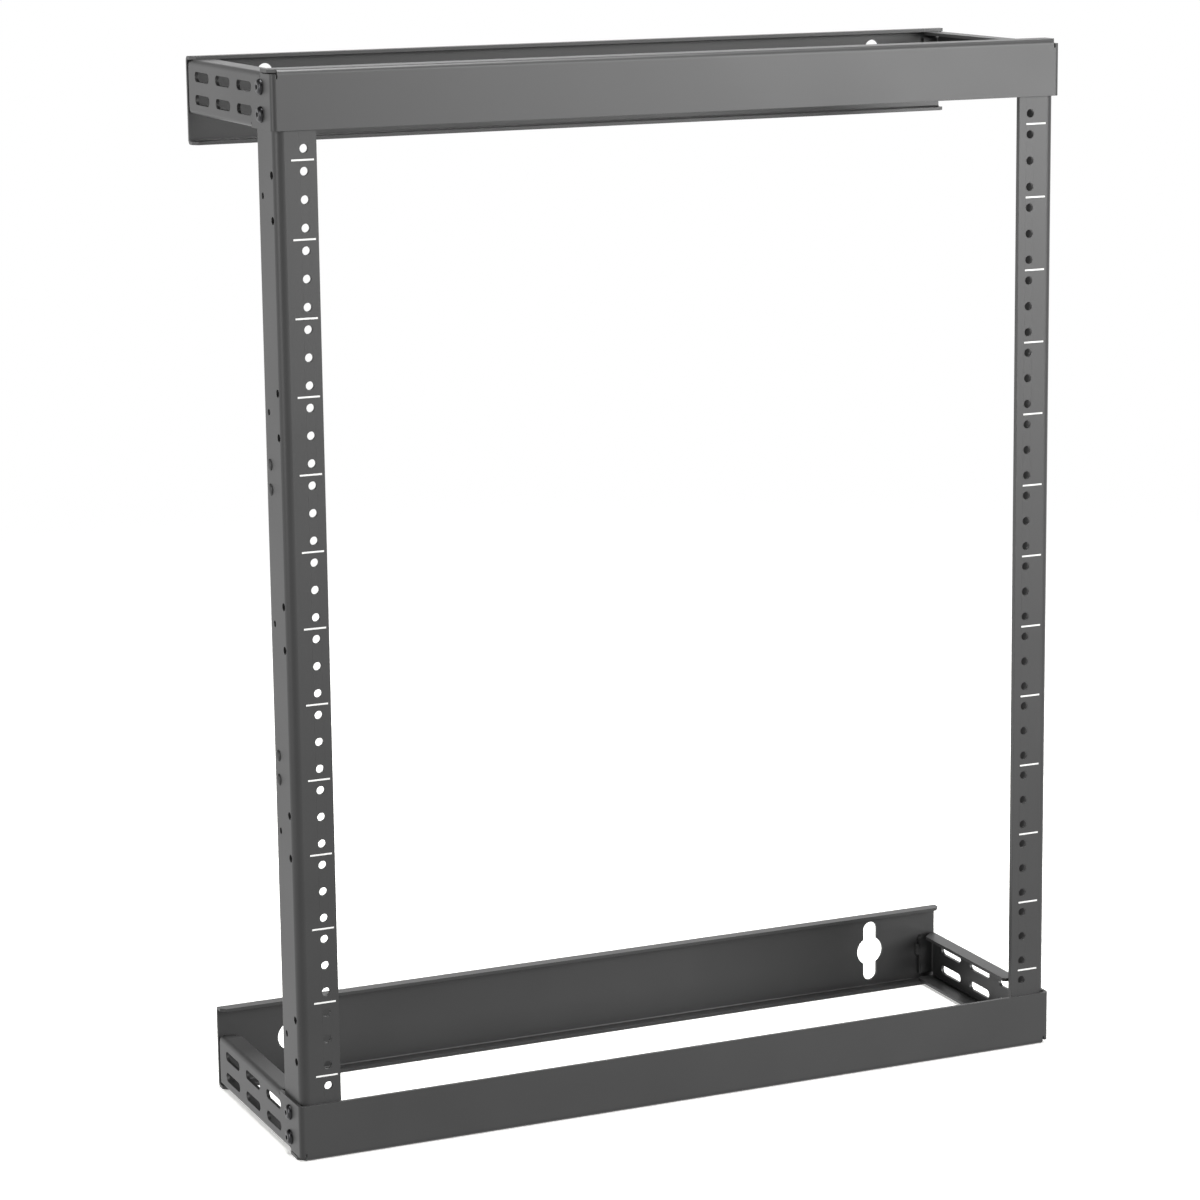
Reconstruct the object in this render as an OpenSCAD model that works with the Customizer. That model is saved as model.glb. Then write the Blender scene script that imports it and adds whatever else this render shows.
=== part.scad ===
// Wall mount open frame rack: two identical welded end frames, joined by two bolted equipment rails.
// Millimetres. X runs across the rack, Y from the front to the wall, Z up. The origin is on the floor,
// under the middle of the rack. Every sheet part is drawn as it is folded, with its real bends.

/* [Overall size] */
// Number of rack units between the rails' first and last marks
rack_units = 12; // [6:1:18]
// Width over the outside faces of the side arms
frame_width = 503; // [500:0.5:512]
// Depth from the front beam's face to the wall
frame_depth = 152.4; // [145:0.1:320]
// Height from the last mark on a rail to the end of the rack
end_margin = 50.5; // [49:0.5:70]

/* [Sheet metal] */
// Thickness of all sheet
sheet = 2; // [1.6:0.1:2.2]
// Inside radius of the frames' bends
bend_in = 1; // [0.8:0.1:1.5]
// Inside radius of the rails' front bend, which is larger
rail_bend_in = 3.5; // [2:0.1:4]

/* [End frames] */
// Height of the side arms over their folded flanges, which lie one sheet inside the beam's
arm_height = 32; // [31:0.5:38]
// Width of the arms' inner flanges, which face the middle of the rack, and of the arms' rear tabs
flange = 12; // [9:0.5:13]
// Width of the beam's outer flange, which closes the end of the rack
beam_flange = 18; // [14:0.5:20]
// Width of the arms' outer flanges
outer_flange = 14; // [12:0.5:18]
// Distance from the beam's back to where the arms' inner flanges start, behind the rail
flange_start = 34; // [33.5:0.5:45]
// Slanted corner at the front end of the arms' inner flanges
flange_cut = 2; // [1:0.5:3]
// Slanted corner at their rear end, clear of the tab's bend
flange_rear_cut = 8; // [4:0.5:8.5]
// Space between the beam's outer flange and the arms' outer flanges behind it
flange_gap = 1; // [0.5:0.5:4]
// Seam between the beam's outer flange and the edge of the arm under it
seam = 0.6; // [0.4:0.1:1]
// Height of the wall plate
plate_height = 52; // [51:0.5:60]
// Width of the wall plate's folded flanges
plate_flange = 10; // [7:0.5:12]
// Chamfer on the ends of the wall plate's flanges
plate_chamfer = 3; // [1:0.5:4]
// Space between the arms' flanges and the rear corner that folds into the tab
corner_gap = 1; // [0.5:0.1:2]

/* [Slots for cable ties] */
// Slots in each row along an arm
slot_count = 3; // [1:1:3]
// Distance from the beam's back to the middle of the first slot
slot_first = 45; // [40:0.5:50]
// Distance between slots along an arm
slot_pitch = 38.1; // [36:0.1:40]
// Distance from an edge of the arm to the middle of a row
slot_edge = 9.3; // [9:0.1:10]
// Length of a slot
slot_length = 26; // [20:0.5:30]
// Height of a slot
slot_height = 5.8; // [4.5:0.1:6.5]

/* [Wall keyholes] */
// Distance from an end of the wall plate to the middle of its keyhole, for studs 406.4 apart
keyhole_inset = 48.3; // [45:0.1:60]
// Diameter of the middle hole, which the screw head passes
keyhole_head = 19; // [16:0.5:20]
// Width of the slots above and below it, which hold the screw
keyhole_slot = 10; // [6:0.5:11]
// Length of the whole keyhole
keyhole_length = 40; // [34:0.5:41]

/* [Equipment rails] */
// Height of one rack unit
unit = 44.45; // [44.45]
// Distance from the outside of the rack to a rail's column of holes
column_inset = 18.94; // [18.9:0.01:19]
// Tapped diameter of the equipment holes
rail_hole = 5; // [4.2:0.1:5.6]
// Width of a rail's front flange
rail_face = 24.5; // [23.5:0.1:26]
// Depth of a rail's web
rail_web = 31.75; // [30:0.05:32]
// Width of a rail's rear flange
rail_back = 8; // [7:0.5:13]
// Space between a rail's end and the outside of the end frame
rail_end_gap = 5.5; // [5.2:0.1:7]
// Diameter of the paired holes in the web, near the front bend
side_hole = 4.6; // [3:0.1:5]
// Distance between the two holes of a pair
side_pair = 25.4; // [20:0.1:30]
// Distance from a rail's first mark to the middle of its first pair
side_start = 21.1; // [20:0.1:26]
// Distance from the rail's front to the paired holes
side_hole_back = 7; // [6.5:0.1:9]
// Diameter of the single hole between them, near the rear bend
side_single = 3.8; // [3:0.1:4]
// Distance from the rail's front to the single holes
side_single_back = 23; // [21:0.1:24]

/* [Bolts, nuts and rivets] */
// Thread diameter of the bolts that join the rails to the arms
bolt = 4.8; // [4:0.1:5]
// Diameter of a bolt's button head
bolt_head = 9.2; // [8:0.1:10]
// Height of a bolt's button head
bolt_head_height = 2.6; // [2:0.1:2.8]
// Distance across the flats of a bolt's hex socket
bolt_socket = 3.2; // [2.5:0.1:3.5]
// Depth of that socket
bolt_socket_depth = 1.5; // [1:0.1:1.8]
// Distance from an edge of the arm to the nearer bolt
bolt_edge = 8.35; // [8:0.05:9]
// Distance from the rail's front to the bolts
bolt_back = 16.6; // [15:0.1:18]
// Clearance of a bolt in its hole, on the radius
bolt_clear = 0.25; // [0.1:0.05:0.4]
// Distance across the flats of a nut
nut_flats = 9.5; // [8:0.1:10]
// Thickness of a nut
nut_height = 3.2; // [2.5:0.1:4]
// Radial space between a bolt's thread and its nut
nut_clear = 0.1; // [0.05:0.05:0.2]
// Length of a bolt past its nut
bolt_past = 1.2; // [0.5:0.1:3]
// Diameter of a rivet's low round head on the rail's web
rivet_head = 7; // [6:0.1:7.2]
// Height of a rivet's head
rivet_head_height = 1.3; // [0.8:0.1:1.8]
// Diameter of a rivet's shank
rivet = 3.2; // [2.5:0.1:4]
// Diameter of the closed end of a rivet, inside the rail
rivet_tail = 5; // [4.5:0.1:6]
// Height of that closed end
rivet_tail_height = 0.8; // [0.5:0.1:1.5]
// Distance between the two rivets of a pair
rivet_pair = 14.3; // [12:0.1:18]
// Distance of a pair's middle from the middle of the rail
rivet_offset = 85.2; // [80:0.1:95]
// Distance from the rail's front to the rivets
rivet_back = 23.7; // [22:0.1:24]

/* [Welds] */
// Size of a weld bead's leg
weld = 2.4; // [1.5:0.1:3]
// Length of a bead on the edge of an arm's rear tab
weld_length = 9; // [6:0.5:14]
// Distance from the end of the tab to its upright bead
weld_gap = 3; // [2.5:0.5:6]

/* [Hidden] */
$fn = 48;
height = rack_units * unit + 2 * end_margin;
mid = height / 2;
half_w = frame_width / 2;
front = -frame_depth / 2;
wall = frame_depth / 2;
rail_front = front + sheet;
plate_front = wall - sheet;
bend_out = bend_in + sheet;
rail_bend_out = rail_bend_in + sheet;
arm_top = height - sheet;
arm_low = arm_top - arm_height;
arm_mid = arm_top - arm_height / 2;
web_out = half_w - sheet;
web_in = web_out - sheet;
tab_edge = half_w - flange;
side_pitch = (rack_units * unit - 2 * side_start) / 4;
column = half_w - column_inset;
slot_rows = arm_height - 2 * slot_edge;
bolt_pair = arm_height - 2 * bolt_edge;
bolt_y = rail_front + bolt_back;
bolt_len = 2 * sheet + nut_height + bolt_past;
rail_lo = rail_end_gap;
rail_hi = height - rail_end_gap;

// One bend seen along its axis: a quarter ring round c, in the quadrant that q points to
module bend_2d(c, r, q) {
    translate(c)
        intersection() {
            difference() {
                circle(r = r + sheet);
                circle(r = r);
            }
            translate([q[0] > 0 ? 0 : -(r + sheet), q[1] > 0 ? 0 : -(r + sheet)])
                square(r + sheet);
        }
}

// A flat shape drawn in X and Z, given a thickness along Y from y0 to y1
module along_y(y0, y1) {
    translate([0, y1, 0])
        rotate([90, 0, 0])
            linear_extrude(y1 - y0)
                children();
}

// A flat shape drawn in Y and Z, given a length along X from x0 to x1
module along_x(x0, x1) {
    translate([x0, 0, 0])
        rotate([90, 0, 90])
            linear_extrude(x1 - x0)
                children();
}

// Both ends of the rack use the same frame: the lower one is the upper one turned over
module turned_over() {
    translate([0, 0, height])
        mirror([0, 0, 1])
            children();
}

// Left and right are the same piece, turned round
module both_sides() {
    children();
    mirror([1, 0, 0])
        children();
}

// Plan of the corner between the beam and an arm, and of the arm as far as y1
module corner_plan(y1) {
    bend_2d([half_w - bend_out, front + bend_out], bend_in, [1, -1]);
    translate([half_w - sheet, front + bend_out])
        square([sheet, y1 - front - bend_out]);
}

// Plan of the front of the strip: half of the beam, the corner and the arm as far as y1
module front_plan(y1) {
    translate([0, front])
        square([half_w - bend_out, sheet]);
    corner_plan(y1);
}

// Plan of the whole strip that becomes the front beam and one arm, with the rear corner and the tab
module strip_plan() {
    front_plan(plate_front - bend_out);
    bend_2d([half_w - bend_out, plate_front - bend_out], bend_in, [1, 1]);
    translate([tab_edge, plate_front - sheet])
        square([half_w - bend_out - tab_edge, sheet]);
}

// One folded flange of an arm from y0 to y1, w wide: a stub of the arm, the bend and the flat with its
// two free corners cut
module arm_flange(y0, y1, w, front_cut, rear_cut) {
    x0 = half_w - w;
    z1 = arm_top - bend_out;
    along_y(y0, y1) {
        bend_2d([half_w - bend_out, z1], bend_in, [1, 1]);
        translate([half_w - sheet, z1 - sheet])
            square(sheet);
    }
    translate([0, 0, arm_top - sheet])
        linear_extrude(sheet)
            polygon([[half_w - bend_out, y0], [half_w - bend_out, y1], [x0 + rear_cut, y1],
                [x0, y1 - rear_cut], [x0, y0 + front_cut], [x0 + front_cut, y0]]);
}

// Half of the front beam's folded flange: a stub of the beam, the bend and the flat, which reaches over
// the edge of the arm
module beam_outer_flange() {
    x1 = half_w - bend_out - corner_gap;
    z1 = height - bend_out;
    along_x(0, x1) {
        bend_2d([front + bend_out, z1], bend_in, [-1, 1]);
        translate([front, z1 - 2 * sheet])
            square([sheet, 2 * sheet]);
    }
    translate([0, 0, height - sheet])
        linear_extrude(sheet)
            polygon([[0, front + bend_out], [x1, front + bend_out], [half_w, front + 2 * bend_out + corner_gap],
                [half_w, front + beam_flange], [0, front + beam_flange]]);
}

// One obround slot through an arm, its middle at y and z
module arm_slot(y, z) {
    along_x(half_w - sheet - 1, half_w + 1) {
        translate([y - slot_length / 2 + slot_height / 2, z - slot_height / 2])
            square([slot_length - slot_height, slot_height]);
        translate([y - slot_length / 2 + slot_height / 2, z])
            circle(d = slot_height);
        translate([y + slot_length / 2 - slot_height / 2, z])
            circle(d = slot_height);
    }
}

// Half of the folded bracket of the upper frame
module bracket_half() {
    difference() {
        union() {
            translate([0, 0, arm_low + bend_out])
                linear_extrude(arm_height - 2 * bend_out)
                    strip_plan();
            translate([0, 0, arm_low])
                linear_extrude(arm_height - bend_out)
                    front_plan(rail_front + flange_start - corner_gap);
            translate([0, 0, arm_mid])
                linear_extrude(arm_top - seam - arm_mid)
                    corner_plan(front + beam_flange);
            beam_outer_flange();
            arm_flange(front + beam_flange + flange_gap, plate_front - sheet - corner_gap, outer_flange, 1, 2);
            translate([0, 0, 2 * arm_mid])
                mirror([0, 0, 1])
                    arm_flange(rail_front + flange_start, plate_front - sheet - corner_gap, flange,
                        flange_cut, flange_rear_cut);
        }
        for (i = [0 : slot_count - 1], k = [-1, 1])
            arm_slot(rail_front + slot_first + i * slot_pitch, arm_mid + k * slot_rows / 2);
        for (k = [-1, 1])
            translate([half_w + 1, bolt_y, arm_mid + k * bolt_pair / 2])
                rotate([0, -90, 0])
                    cylinder(d = bolt + 2 * bolt_clear, h = sheet + 2);
        // Room at the rear corner, so that the tab folds clear of both flanges
        translate([tab_edge - 1, plate_front - bend_out, arm_top - bend_out - corner_gap])
            cube([flange + 2, bend_out + 1, bend_out + corner_gap + 1]);
        translate([tab_edge - 1, plate_front - bend_out, arm_low - 1])
            cube([flange + 2, bend_out + 1, bend_out + corner_gap + 1]);
    }
}

// The folded bracket: front beam and both side arms from one sheet
module bracket() {
    color("dimgray")
        both_sides()
            bracket_half();
}

// A double keyhole through the wall plate, its middle at x and z
module keyhole(x, z) {
    along_y(plate_front - 1, wall + 1)
        translate([x, z]) {
            circle(d = keyhole_head);
            translate([-keyhole_slot / 2, -(keyhole_length - keyhole_slot) / 2])
                square([keyhole_slot, keyhole_length - keyhole_slot]);
            translate([0, (keyhole_length - keyhole_slot) / 2])
                circle(d = keyhole_slot);
            translate([0, -(keyhole_length - keyhole_slot) / 2])
                circle(d = keyhole_slot);
        }
}

// One flange of the wall plate at its outer edge, with a stub of the plate: half its length
module plate_edge() {
    z1 = height - bend_out;
    along_x(0, half_w) {
        bend_2d([wall - bend_out, z1], bend_in, [1, 1]);
        translate([plate_front, z1 - sheet])
            square(sheet);
    }
    translate([0, 0, height - sheet])
        linear_extrude(sheet)
            polygon([[0, wall - bend_out], [half_w, wall - bend_out],
                [half_w, wall - plate_flange + plate_chamfer],
                [half_w - plate_chamfer, wall - plate_flange], [0, wall - plate_flange]]);
}

// The wall plate of the upper frame: a shallow channel with its flanges folded forward
module wall_plate() {
    plate_low = height - plate_height;
    color("dimgray")
        difference() {
            both_sides() {
                translate([0, plate_front, plate_low + bend_out])
                    cube([half_w, sheet, plate_height - 2 * bend_out]);
                plate_edge();
                translate([0, 0, 2 * height - plate_height])
                    mirror([0, 0, 1])
                        plate_edge();
            }
            keyhole(half_w - keyhole_inset, height - plate_height / 2);
            keyhole(keyhole_inset - half_w, height - plate_height / 2);
        }
}

// Plan of the right rail: front flange, web and rear flange, folded from one strip
module rail_plan() {
    back = rail_front + rail_web;
    translate([web_out - rail_face, rail_front])
        square([rail_face - rail_bend_out, sheet]);
    bend_2d([web_out - rail_bend_out, rail_front + rail_bend_out], rail_bend_in, [1, -1]);
    translate([web_in, rail_front + rail_bend_out])
        square([sheet, rail_web - rail_bend_out - bend_out]);
    bend_2d([web_out - bend_out, back - bend_out], bend_in, [1, 1]);
    translate([web_out - rail_back, back - sheet])
        square([rail_back - bend_out, sheet]);
}

// A hole through the right rail's web, its middle at y and z
module web_hole(d, y, z) {
    translate([web_out + 1, y, z])
        rotate([0, -90, 0])
            cylinder(d = d, h = sheet + 2);
}

// The right rail, with its equipment holes, web holes and bolt holes
module rail() {
    face_z = mid + rack_units * unit / 2;
    color("dimgray")
        difference() {
            translate([0, 0, rail_lo])
                linear_extrude(rail_hi - rail_lo)
                    rail_plan();
            for (k = [0 : rack_units - 1], d = [unit / 7, unit / 2, unit * 6 / 7])
                translate([column, rail_front - 1, face_z - k * unit - d])
                    rotate([-90, 0, 0])
                        cylinder(d = rail_hole, h = sheet + 2);
            for (s = [-1, 1])
                translate([column, rail_front - 1, mid + s * (rack_units * unit / 2 + unit / 7)])
                    rotate([-90, 0, 0])
                        cylinder(d = rail_hole, h = sheet + 2);
            for (i = [-2 : 2], s = [-1, 1])
                web_hole(side_hole, rail_front + side_hole_back, mid + i * side_pitch + s * side_pair / 2);
            for (i = [-2 : 2])
                web_hole(side_single, rail_front + side_single_back, mid + i * side_pitch);
            for (e = [-1, 1], s = [-1, 1])
                web_hole(bolt + 2 * bolt_clear, bolt_y, mid + e * (arm_mid - mid) + s * bolt_pair / 2);
            for (e = [-1, 1], s = [-1, 1])
                web_hole(rivet, rail_front + rivet_back, mid + e * rivet_offset + s * rivet_pair / 2);
        }
}

// A dome over the circle of diameter d and height h, standing on the plane z = 0
module dome(d, h) {
    r = (d * d / 4 + h * h) / (2 * h);
    intersection() {
        translate([0, 0, h - r])
            sphere(r = r);
        cylinder(d = d + 1, h = h + 1);
    }
}

// A button head bolt along Z, with the underside of its head at z = 0 and its hex socket on top
module bolt() {
    color("black")
        difference() {
            union() {
                dome(bolt_head, bolt_head_height);
                translate([0, 0, -bolt_len])
                    cylinder(d = bolt, h = bolt_len + 0.5);
            }
            translate([0, 0, bolt_head_height - bolt_socket_depth])
                cylinder(d = bolt_socket / cos(30), h = 2 * bolt_socket_depth, $fn = 6);
        }
}

// A hex nut along Z, standing on z = 0
module nut() {
    color("black")
        difference() {
            cylinder(d = nut_flats / cos(30), h = nut_height, $fn = 6);
            translate([0, 0, -1])
                cylinder(d = bolt + 2 * nut_clear, h = nut_height + 2);
        }
}

// A rivet along Z, its head standing on z = 0, its shank filling the hole in the web
module rivet() {
    color("black") {
        dome(rivet_head, rivet_head_height);
        translate([0, 0, -sheet])
            cylinder(d = rivet, h = sheet + 0.5);
        translate([0, 0, -sheet - rivet_tail_height])
            cylinder(d = rivet_tail, h = rivet_tail_height);
    }
}

// A place on the outside of a rail or arm: x is its distance from the middle, s the side
module on_side(s, x, y, z) {
    translate([s * x, y, z])
        rotate([0, s * 90, 0])
            children();
}

// A fillet bead along X in the corner between a tab's end and the wall plate
module bead() {
    color("dimgray")
        intersection() {
            rotate([0, 90, 0])
                cylinder(r = weld, h = weld_length);
            translate([-1, -weld - 1, 0])
                cube([weld_length + 2, weld + 1, weld + 1]);
        }
}

// The two beads of a corner, in the upper frame at the right: one at each end of the arm's tab
module corner_bead(k) {
    tab_low = arm_low + bend_out + corner_gap;
    if (k == 0)
        translate([tab_edge, plate_front, tab_low])
            mirror([0, 0, 1])
                bead();
    if (k == 1)
        translate([tab_edge, plate_front, tab_low + weld_gap])
            rotate([0, -90, 0])
                bead();
}

bracket();  // upper_bracket
turned_over()  // lower_bracket
        bracket();
wall_plate();  // upper_wall_plate
turned_over()  // lower_wall_plate
        wall_plate();
rail();  // right_rail
mirror([1, 0, 0])  // left_rail
        rail();
for (i = [0 : 7]) {
    s = i < 4 ? -1 : 1;
    e = i % 4 < 2 ? 1 : -1;
    k = i % 2 == 0 ? 1 : -1;
    z = mid + e * (arm_mid - mid) + k * bolt_pair / 2;
    zr = mid + e * rivet_offset + k * rivet_pair / 2;
    on_side(s, half_w, bolt_y, z)
            bolt();
    on_side(s, web_in - nut_height, bolt_y, z)
            nut();
    on_side(s, web_out, rail_front + rivet_back, zr)
            rivet();
    translate([0, 0, e > 0 ? 0 : height])
            mirror([0, 0, e > 0 ? 0 : 1])
                mirror([s > 0 ? 0 : 1, 0, 0])
                    corner_bead(i % 2);
}
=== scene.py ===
import math
import bmesh
import bpy
from mathutils import Matrix, Vector


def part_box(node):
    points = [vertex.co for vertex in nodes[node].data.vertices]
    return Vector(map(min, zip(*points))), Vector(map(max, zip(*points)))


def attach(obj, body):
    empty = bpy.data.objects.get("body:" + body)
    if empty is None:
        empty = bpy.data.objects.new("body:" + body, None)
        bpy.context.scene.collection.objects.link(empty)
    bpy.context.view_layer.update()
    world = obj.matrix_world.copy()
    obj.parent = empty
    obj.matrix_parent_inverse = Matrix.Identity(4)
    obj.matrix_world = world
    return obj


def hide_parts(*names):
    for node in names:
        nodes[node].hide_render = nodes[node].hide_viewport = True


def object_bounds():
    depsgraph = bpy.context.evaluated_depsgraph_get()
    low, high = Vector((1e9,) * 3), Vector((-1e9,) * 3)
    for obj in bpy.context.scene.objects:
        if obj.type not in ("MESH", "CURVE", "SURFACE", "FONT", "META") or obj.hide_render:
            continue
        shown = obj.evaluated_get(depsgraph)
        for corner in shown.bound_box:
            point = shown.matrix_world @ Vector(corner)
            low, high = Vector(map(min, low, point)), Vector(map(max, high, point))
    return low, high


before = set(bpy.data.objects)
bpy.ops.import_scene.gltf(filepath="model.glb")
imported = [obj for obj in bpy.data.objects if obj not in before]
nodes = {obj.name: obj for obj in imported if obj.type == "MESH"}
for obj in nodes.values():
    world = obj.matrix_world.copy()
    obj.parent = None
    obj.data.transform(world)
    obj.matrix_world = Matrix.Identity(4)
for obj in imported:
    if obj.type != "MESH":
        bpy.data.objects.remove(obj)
cad_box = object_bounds()


# The camera
# It stands to the left of the rack, a little above its top, with a long lens as product pictures have.
# The lens is shifted down a little, so that the uprights stay almost parallel.
view_from = (-0.9313, -2.0589, 0.7692)
view_turn = (78.953, 0.661, -23.942)
lens_mm = 112.94
sensor_mm = 36
lens_drop = -0.04
nearest, farthest = 0.1, 60

lens = bpy.data.cameras.new("rack_camera")
lens.lens = lens_mm
lens.sensor_width = sensor_mm
lens.shift_y = lens_drop
lens.clip_start, lens.clip_end = nearest, farthest
camera = bpy.data.objects.new("rack_camera", lens)
camera.location = view_from
camera.rotation_euler = [math.radians(a) for a in view_turn]
bpy.context.scene.collection.objects.link(camera)
bpy.context.scene.camera = camera
bpy.context.scene.view_settings.view_transform = "Standard"


# The studio
# A pale paper floor that fades into an even white backdrop, as in a product picture. The backdrop behind
# the rack lights its sides, two softboxes light its front from the right, one lights its top, a tall strip
# on the left draws a line of light down its bends, and one behind on the right skims over its flanges.
floor_size = 12.0
floor_fade_from, floor_fade_to = 0.6, 2.0
floor_white, floor_bright = "#f4f4f2", "#f8f8f6"
floor_grain_mm = 40
floor_roughness = 0.8
floor_glow = 0.45
backdrop_white = 1.0
glow_in_front, glow_behind = 0.6, 1.3
glow_turns_from, glow_turns_to = -0.3, 0.5
glow_ends_above = 0.5
lit_point = Vector((0, 0, 0.35))
# Each softbox has its place, its width and height in metres, and its watts.
softboxes = {
    "front_softbox": ((0.74, -2.04, 1.46), 1.2, 1.2, 15),
    "right_softbox": ((1.36, -1.95, 0.78), 1.2, 1.2, 51),
    "overhead_softbox": ((0, -0.04, 2.85), 1.2, 1.2, 120),
    "left_strip": ((-2.3, -0.6, 0.9), 0.35, 1.6, 22),
    "rear_softbox": ((1, 2.2, 0.8), 1.4, 1.4, 6),
}


def linear(colour):
    """A colour written as sRGB hex, as Blender's linear values"""
    parts = [int(colour[i:i + 2], 16) / 255 for i in (1, 3, 5)]
    return [c / 12.92 if c <= 0.04045 else ((c + 0.055) / 1.055) ** 2.4 for c in parts] + [1]


def add(tree, kind, sockets=(), **settings):
    """Adds one node: its settings, then its sockets, each given a value or another node's output"""
    made = tree.nodes.new(kind)
    for key, value in settings.items():
        setattr(made, key, value)
    for key, value in dict(sockets).items():
        if isinstance(value, bpy.types.NodeSocket):
            tree.links.new(value, made.inputs[key])
        else:
            made.inputs[key].default_value = value
    return made


def finish_of(name, patch_mm, colours, roughness, detail=2):
    """A new material whose tone, and its roughness if that is a pair, wander in patches of a real size"""
    made = bpy.data.materials.new(name)
    made.use_nodes = True
    tree = made.node_tree
    shader = tree.nodes["Principled BSDF"]
    place = add(tree, "ShaderNodeTexCoord").outputs["Object"]
    patches = add(tree, "ShaderNodeTexNoise", {
        "Vector": place, "Scale": 1000 / patch_mm, "Detail": detail}).outputs[0]
    one, other = [linear(colour) for colour in colours]
    tone = add(tree, "ShaderNodeMix", {0: patches, 6: one, 7: other}, data_type="RGBA")
    tree.links.new(tone.outputs[2], shader.inputs["Base Color"])
    if isinstance(roughness, tuple):
        smooth, rough = roughness
        gloss = add(tree, "ShaderNodeMapRange", {"Value": patches, "To Min": smooth, "To Max": rough})
        tree.links.new(gloss.outputs[0], shader.inputs["Roughness"])
    else:
        shader.inputs["Roughness"].default_value = roughness
    return made


backdrop = bpy.data.worlds.new("white_backdrop")
backdrop.use_nodes = True
bpy.context.scene.world = backdrop
tree = backdrop.node_tree
tree.nodes.clear()
looking = add(tree, "ShaderNodeTexCoord").outputs["Generated"]
direction = add(tree, "ShaderNodeSeparateXYZ", {0: looking}).outputs
around = add(tree, "ShaderNodeMapRange", {
    "Value": direction["Y"], "From Min": glow_turns_from, "From Max": glow_turns_to,
    "To Min": glow_in_front, "To Max": glow_behind}, interpolation_type="SMOOTHSTEP")
upwards = add(tree, "ShaderNodeMapRange", {
    "Value": direction["Z"], "From Min": 0, "From Max": glow_ends_above,
    "To Min": 1, "To Max": 0}, interpolation_type="SMOOTHSTEP")
glow = add(tree, "ShaderNodeMath", {0: around.outputs[0], 1: upwards.outputs[0]}, operation="MULTIPLY")
seen = add(tree, "ShaderNodeLightPath").outputs["Is Camera Ray"]
strength = add(tree, "ShaderNodeMix", {0: seen, 2: glow.outputs[0], 3: backdrop_white})
shade = add(tree, "ShaderNodeBackground", {"Color": (1, 1, 1, 1), "Strength": strength.outputs[0]})
add(tree, "ShaderNodeOutputWorld", {"Surface": shade.outputs[0]})

# The paper is matt and a little uneven. It glows, so that it stays as pale as the backdrop behind it.
paper = finish_of("matt_studio_paper", floor_grain_mm, (floor_white, floor_bright), floor_roughness)
tree = paper.node_tree
shader = tree.nodes["Principled BSDF"]
shader.inputs["Emission Color"].default_value = linear(floor_white)
shader.inputs["Emission Strength"].default_value = floor_glow
place = add(tree, "ShaderNodeTexCoord").outputs["Object"]
reach = add(tree, "ShaderNodeVectorMath", {0: place}, operation="LENGTH").outputs["Value"]
fade = add(tree, "ShaderNodeMapRange", {
    "Value": reach, "From Min": floor_fade_from, "From Max": floor_fade_to,
    "To Min": 1, "To Max": 0}, interpolation_type="SMOOTHSTEP")
tree.links.new(fade.outputs[0], shader.inputs["Alpha"])

mesh = bpy.data.meshes.new("studio_floor")
shape = bmesh.new()
bmesh.ops.create_grid(shape, x_segments=1, y_segments=1, size=floor_size / 2)
shape.to_mesh(mesh)
shape.free()
floor = bpy.data.objects.new("studio_floor", mesh)
mesh.materials.append(paper)
bpy.context.scene.collection.objects.link(floor)
floor.visible_diffuse = floor.visible_glossy = False

for name, (where, width, height, watts) in softboxes.items():
    lamp = bpy.data.lights.new(name, "AREA")
    lamp.shape = "RECTANGLE"
    lamp.size, lamp.size_y = width, height
    lamp.energy = watts
    softbox = bpy.data.objects.new(name, lamp)
    softbox.location = where
    softbox.rotation_euler = (lit_point - Vector(where)).to_track_quat("-Z", "Y").to_euler()
    softbox.visible_camera = False
    bpy.context.scene.collection.objects.link(softbox)


# The two end frames
# Each is a bracket folded from one strip of 2 mm steel, a beam with an arm at each end, welded to a folded
# wall plate. Both are powder coated after welding, in a satin black that bakes with a faint orange peel.
coat_black, coat_thin = "#303030", "#373737"
coat_cloud_mm = 60
coat_roughness = (0.4, 0.48)
peel_mm, peel_depth_mm = 2.5, 0.004
speck_mm, speck_depth_mm = 0.35, 0.001
edge_round_mm = 0.3


def powder_coat(name, colour, thin_colour):
    """Satin powder coat: a cloudy tone, a fine speck and orange peel, and edges that the coat rounds off"""
    made = finish_of(name, coat_cloud_mm, (colour, thin_colour), coat_roughness, detail=3)
    tree = made.node_tree
    place = add(tree, "ShaderNodeTexCoord").outputs["Object"]
    peel = add(tree, "ShaderNodeTexNoise", {"Vector": place, "Scale": 1000 / peel_mm, "Detail": 1})
    speck = add(tree, "ShaderNodeTexNoise", {"Vector": place, "Scale": 1000 / speck_mm, "Detail": 1})
    soft_edge = add(tree, "ShaderNodeBevel", {"Radius": edge_round_mm / 1000}, samples=4)
    waves = add(tree, "ShaderNodeBump", {
        "Height": peel.outputs[0], "Distance": peel_depth_mm / 1000, "Normal": soft_edge.outputs[0]})
    specks = add(tree, "ShaderNodeBump", {
        "Height": speck.outputs[0], "Distance": speck_depth_mm / 1000, "Normal": waves.outputs[0]})
    tree.links.new(specks.outputs[0], tree.nodes["Principled BSDF"].inputs["Normal"])
    return made


frame_coat = powder_coat("satin_black_powder_coat", coat_black, coat_thin)
for name in ("upper_bracket", "lower_bracket", "upper_wall_plate", "lower_wall_plate"):
    nodes[name].material_slots[0].material = frame_coat


# The weld beads
# Two short fillet welds at each arm's rear tab hold the bracket to the wall plate, one under the end of the
# tab and one along its edge. They are laid in a rippled row of small pools, and coated with the frame.
bead_count = 8
bead_leg = 2.4
bead_sides = 24
bead_pools = 8
rings_a_pool = 4
# Each pool stands a tenth proud, and a bead starts and ends at little more than half its leg.
pool_swell = 0.1
bead_end = 0.55
half_way_up = (cad_box[0].z + cad_box[1].z) / 2


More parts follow.
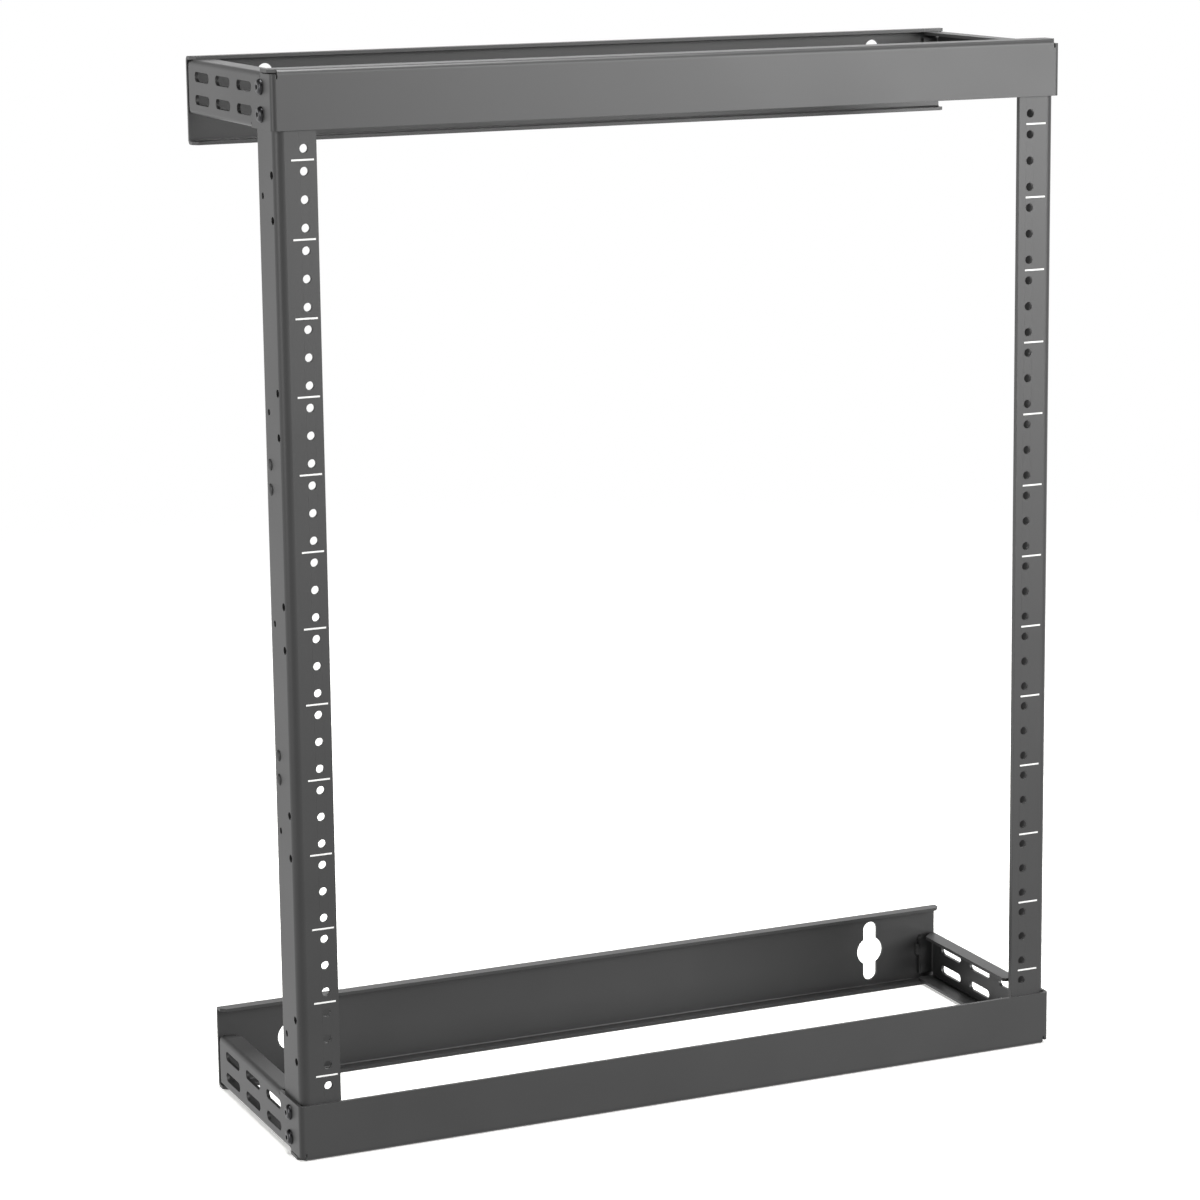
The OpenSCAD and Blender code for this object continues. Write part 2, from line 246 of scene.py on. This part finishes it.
def ring(shape, along, radius, corners=48, points=48):
    """A closed ring of edges round the X axis, in millimetres: a circle, or a hexagon with as many points"""
    before = set(shape.edges)
    turned = Matrix.Translation((along / 1000, 0, 0)) @ Matrix.Rotation(math.pi / 2, 4, "Y")
    bmesh.ops.create_circle(shape, segments=corners, radius=radius / 1000, matrix=turned)
    if corners < points:
        flats = [e for e in shape.edges if e not in before]
        bmesh.ops.subdivide_edges(shape, edges=flats, cuts=points // corners - 1)
    return [e for e in shape.edges if e not in before]


def loft(shape, rings, closed=False):
    """Bridges each ring to the next one, and closes the first and the last ring of a solid piece"""
    for one, other in zip(rings, rings[1:]):
        bmesh.ops.bridge_loops(shape, edges=one + other)
    if closed:
        for end in (rings[0], rings[-1]):
            bmesh.ops.contextual_create(shape, geom=end)


def finished_piece(name, shape, material, node, sharp=35):
    """Turns the shape into an object with smooth faces and crisp corners, which stands for its CAD node"""
    bmesh.ops.remove_doubles(shape, verts=shape.verts, dist=0.000001)
    bmesh.ops.recalc_face_normals(shape, faces=shape.faces)
    made = bpy.data.meshes.new(name)
    shape.to_mesh(made)
    shape.free()
    made.shade_smooth()
    made.set_sharp_from_angle(angle=math.radians(sharp))
    made.materials.append(material)
    piece = bpy.data.objects.new(name, made)
    bpy.context.scene.collection.objects.link(piece)
    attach(piece, "root")
    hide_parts(node)
    return piece


for i in range(1, bead_count + 1):
    low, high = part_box(f"weld_{i}")
    length = max(high - low) * 1000
    steps = bead_pools * rings_a_pool
    shape = bmesh.new()
    rings = []
    for k in range(steps + 1):
        pools_from_end = min(k, steps - k) / rings_a_pool
        swell = 1 - pool_swell + pool_swell * abs(math.sin(math.pi * k / rings_a_pool))
        taper = min(1, bead_end + (1 - bead_end) * pools_from_end)
        rings.append(ring(shape, length * k / steps, bead_leg * swell * taper, bead_sides, bead_sides))
    loft(shape, rings, closed=True)
    # Only the quarter that fills the corner between tab and plate is kept.
    for cut_off in ((0, 1, 0), (0, 0, 1)):
        everything = list(shape.verts) + list(shape.edges) + list(shape.faces)
        cut = bmesh.ops.bisect_plane(shape, geom=everything, plane_co=(0, 0, 0), plane_no=cut_off,
                                     clear_outer=True)["geom_cut"]
        bmesh.ops.contextual_create(shape, geom=[e for e in cut if isinstance(e, bmesh.types.BMEdge)])
    lies_flat = high.x - low.x > high.z - low.z
    if lies_flat:
        upper = low.z > half_way_up
        corner = Matrix.Translation((low.x, high.y, high.z if upper else low.z))
        turn = Matrix.Diagonal((1, 1, 1 if upper else -1, 1))
    else:
        left = low.x < 0
        corner = Matrix.Translation((low.x if left else high.x, high.y, low.z))
        turn = Matrix(((0, 0, -1 if left else 1, 0), (0, 1, 0, 0), (1, 0, 0, 0), (0, 0, 0, 1)))
    bmesh.ops.transform(shape, matrix=corner @ turn, verts=shape.verts)
    finished_piece(f"weld_bead_{i}", shape, frame_coat, f"weld_{i}", sharp=60)


# The two equipment rails
# Each is a folded 2 mm steel channel, coated like the frames, with its three holes a unit tapped after
# coating, so that the thread shows as fine rings in the wall of each hole.
rail_black, rail_thin = "#2f2f2f", "#363636"
hole_column_mm = 232.56
hole_reach_mm = 2.7
thread_pitch_mm = 0.8
thread_depth_mm = 0.25

rail_coat = powder_coat("satin_black_rail_coat", rail_black, rail_thin)
for name in ("left_rail", "right_rail"):
    nodes[name].material_slots[0].material = rail_coat
tree = rail_coat.node_tree
place = add(tree, "ShaderNodeTexCoord").outputs["Object"]
across, deep = add(tree, "ShaderNodeSeparateXYZ", {0: place}).outputs[:2]
from_middle = add(tree, "ShaderNodeMath", {0: across}, operation="ABSOLUTE")
in_hole = add(tree, "ShaderNodeMath", {
    0: from_middle.outputs[0], 1: hole_column_mm / 1000, 2: hole_reach_mm / 1000}, operation="COMPARE")
angle = add(tree, "ShaderNodeMath", {0: deep, 1: 2000 * math.pi / thread_pitch_mm}, operation="MULTIPLY")
groove = add(tree, "ShaderNodeMath", {0: angle.outputs[0]}, operation="SINE")
thread = add(tree, "ShaderNodeMath", {0: groove.outputs[0], 1: in_hole.outputs[0]}, operation="MULTIPLY")
surface = tree.nodes["Principled BSDF"].inputs["Normal"]
tapped = add(tree, "ShaderNodeBump", {
    "Height": thread.outputs[0], "Distance": thread_depth_mm / 1000, "Normal": surface.links[0].from_socket})
tree.links.new(tapped.outputs[0], surface)


# The rivets
# Two pairs of low round heads on each rail's side, closed on the inside of the rail, coated with it. Each
# ring of a rivet is given by how far it stands out of the rail's side and by its radius, in millimetres.
rivet_count = 8
rivet_sides = 32
rail_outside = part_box("right_rail")[1].x * 1000
rivet_rings = ((1.3, 0.5), (1.25, 1.3), (1.1, 2.1), (0.8, 2.9), (0.45, 3.35), (0.12, 3.5), (0, 3.45),
               (0, 1.6), (-2, 1.6), (-2, 2.3), (-2.2, 2.5), (-2.6, 2.4), (-2.8, 1.8))


def set_in_side(shape, node, face, turned=0):
    """Moves a shape made along the X axis to where its node is, with its zero on that side's face"""
    low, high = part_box(node)
    way = 1 if low.x > 0 else -1
    place = Matrix.Translation((way * face / 1000, (low.y + high.y) / 2, (low.z + high.z) / 2))
    turn = Matrix.Diagonal((way, way, 1, 1)) @ Matrix.Rotation(math.radians(turned), 4, "X")
    bmesh.ops.transform(shape, matrix=place @ turn, verts=shape.verts)


for i in range(1, rivet_count + 1):
    shape = bmesh.new()
    rings = [ring(shape, along, radius, rivet_sides, rivet_sides) for along, radius in rivet_rings]
    loft(shape, rings, closed=True)
    set_in_side(shape, f"rivet_{i}", rail_outside)
    finished_piece(f"rivet_head_{i}", shape, rail_coat, f"rivet_{i}")


# The rack unit marks
# A short white line on the front of each rail at every rack unit, thirteen a rail, screen printed over the
# powder coat. The ink is opaque and matt, a little thinner in spots, and stands on the coat as a thin film.
ink_white, ink_thin = "#f0f0ee", "#dcdcda"
ink_spot_mm = 0.8
ink_roughness = 0.55
ink_film = 0.04
mark_count = 13
mark_pitch = 44.45
mark_thick = 1
mark_ends = {"left": (-240.1, -226.8), "right": (229.9, 243.3)}

ink = finish_of("white_screen_ink", ink_spot_mm, (ink_white, ink_thin), ink_roughness)

for side, (x0, x1) in mark_ends.items():
    rail_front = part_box(f"{side}_rail")[0].y
    shape = bmesh.new()
    for i in range(mark_count):
        up = (i - (mark_count - 1) / 2) * mark_pitch
        size = Matrix.Diagonal((x1 - x0, ink_film, mark_thick, 1))
        spot = Matrix.Translation(((x0 + x1) / 2, -ink_film / 2, up))
        bmesh.ops.create_cube(shape, size=1, matrix=spot @ size)
    on_rail = Matrix.Translation((0, rail_front, half_way_up)) @ Matrix.Scale(0.001, 4)
    bmesh.ops.transform(shape, matrix=on_rail, verts=shape.verts)
    mesh = bpy.data.meshes.new(f"{side}_rail_marks")
    shape.to_mesh(mesh)
    shape.free()
    marks = bpy.data.objects.new(f"{side}_rail_marks", mesh)
    mesh.materials.append(ink)
    bpy.context.scene.collection.objects.link(marks)
    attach(marks, "root")


# The bolts
# Two button head cap screws a corner, from outside through the arm and the rail's side. They are cold
# headed steel in glossy black oxide, with a hex socket, a thin rim under the dome and a rolled thread.
# Each ring of a bolt is given by how far it stands out of the arm, its radius and its number of corners.
bolt_count = 8
bolt_turn = 25
arm_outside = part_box("upper_bracket")[1].x * 1000
socket_corner, socket_floor, socket_top = 1.443, 0.9, 2.15
lip_radius, lip_height = 1.66, 2.3
dome_top, dome_fall = 2.28, 1.93
dome_from, dome_spread = 2.55, 2.05
dome_arc, dome_steps = 1.1, 10
rim_radius = 4.6
shank_radius, shank_end = 2.4, -4.1
thread_root, thread_from = 2.08, -4.3
half_pitch, half_turns = 0.4, 10
tip_rings = [(-8.3, 2.0, 48), (-8.4, 1.85, 48)]
oxide_black, oxide_thin = "#3a3a3b", "#4a4a4c"
oxide_patch_mm = 1.5
oxide_roughness = (0.3, 0.4)
oxide_metallic = 0.9

head_rings = [(socket_floor, socket_corner, 6), (socket_top, socket_corner, 6), (lip_height, lip_radius, 48)]
for k in range(dome_steps + 1):
    a = dome_arc * k / dome_steps
    head_rings.append((dome_top - dome_fall * (1 - math.cos(a)) / (1 - math.cos(dome_arc)),
                       dome_from + dome_spread * math.sin(a) / math.sin(dome_arc), 48))
head_rings += [(0.1, rim_radius, 48), (0, rim_radius - 0.1, 48)]
shank_rings = [(0, shank_radius + 0.1, 48), (-0.2, shank_radius, 48), (shank_end, shank_radius, 48)]
thread_rings = [(thread_from - half_pitch * k, shank_radius if k % 2 else thread_root, 48)
                for k in range(half_turns)]

# The oxide is a thin smooth film, so a head stays near black and catches a small soft highlight.
oxide = finish_of("black_oxide_steel", oxide_patch_mm, (oxide_black, oxide_thin), oxide_roughness, detail=3)
oxide.node_tree.nodes["Principled BSDF"].inputs["Metallic"].default_value = oxide_metallic

for i in range(1, bolt_count + 1):
    shape = bmesh.new()
    rings = [ring(shape, *spot) for spot in head_rings + shank_rings + thread_rings + tip_rings]
    loft(shape, rings, closed=True)
    set_in_side(shape, f"bolt_{i}", arm_outside, bolt_turn * i)
    finished_piece(f"button_bolt_{i}", shape, oxide, f"bolt_{i}")


# The nuts
# A hex nut on each bolt, tight against the inside of the rail, in the same black oxide. Both faces are
# chamfered at 30 degrees, so that the corners end in arcs, and the thread is countersunk at both ends.
rail_sheet = 2
nut_height = 3.2
nut_corner = 9.5 / math.sqrt(3)
face_radius = 4.62
chamfer_slope = 0.577
bore = 2.5
countersink = 0.4
groove_depth, groove_turns = 0.25, 5

for i in range(1, bolt_count + 1):
    shape = bmesh.new()
    faces = []
    for end, inwards in ((0, -1), (-nut_height, 1)):
        sides = ring(shape, end, nut_corner, 6)
        for v in {v for e in sides for v in e.verts}:
            out = math.hypot(v.co.y, v.co.z) * 1000
            v.co.x += inwards * max(0, out - face_radius) * chamfer_slope / 1000
        rim = ring(shape, end, nut_corner, 6)
        for v in {v for e in rim for v in e.verts}:
            out = math.hypot(v.co.y, v.co.z) * 1000
            v.co.y, v.co.z = (c * min(1, face_radius / out) for c in (v.co.y, v.co.z))
        mouth = ring(shape, end, bore + countersink)
        throat = ring(shape, end + inwards * countersink, bore)
        faces.append([sides, rim, mouth, throat])
    turns = [ring(shape, -countersink - half_pitch * k, bore + (groove_depth if k % 2 else 0))
             for k in range(1, groove_turns + 1)]
    near, far = faces
    loft(shape, [near[3]] + turns + [far[3]])
    loft(shape, near)
    loft(shape, far)
    loft(shape, [near[0], far[0]])
    set_in_side(shape, f"nut_{i}", rail_outside - rail_sheet)
    finished_piece(f"hex_nut_{i}", shape, oxide, f"nut_{i}", sharp=25)
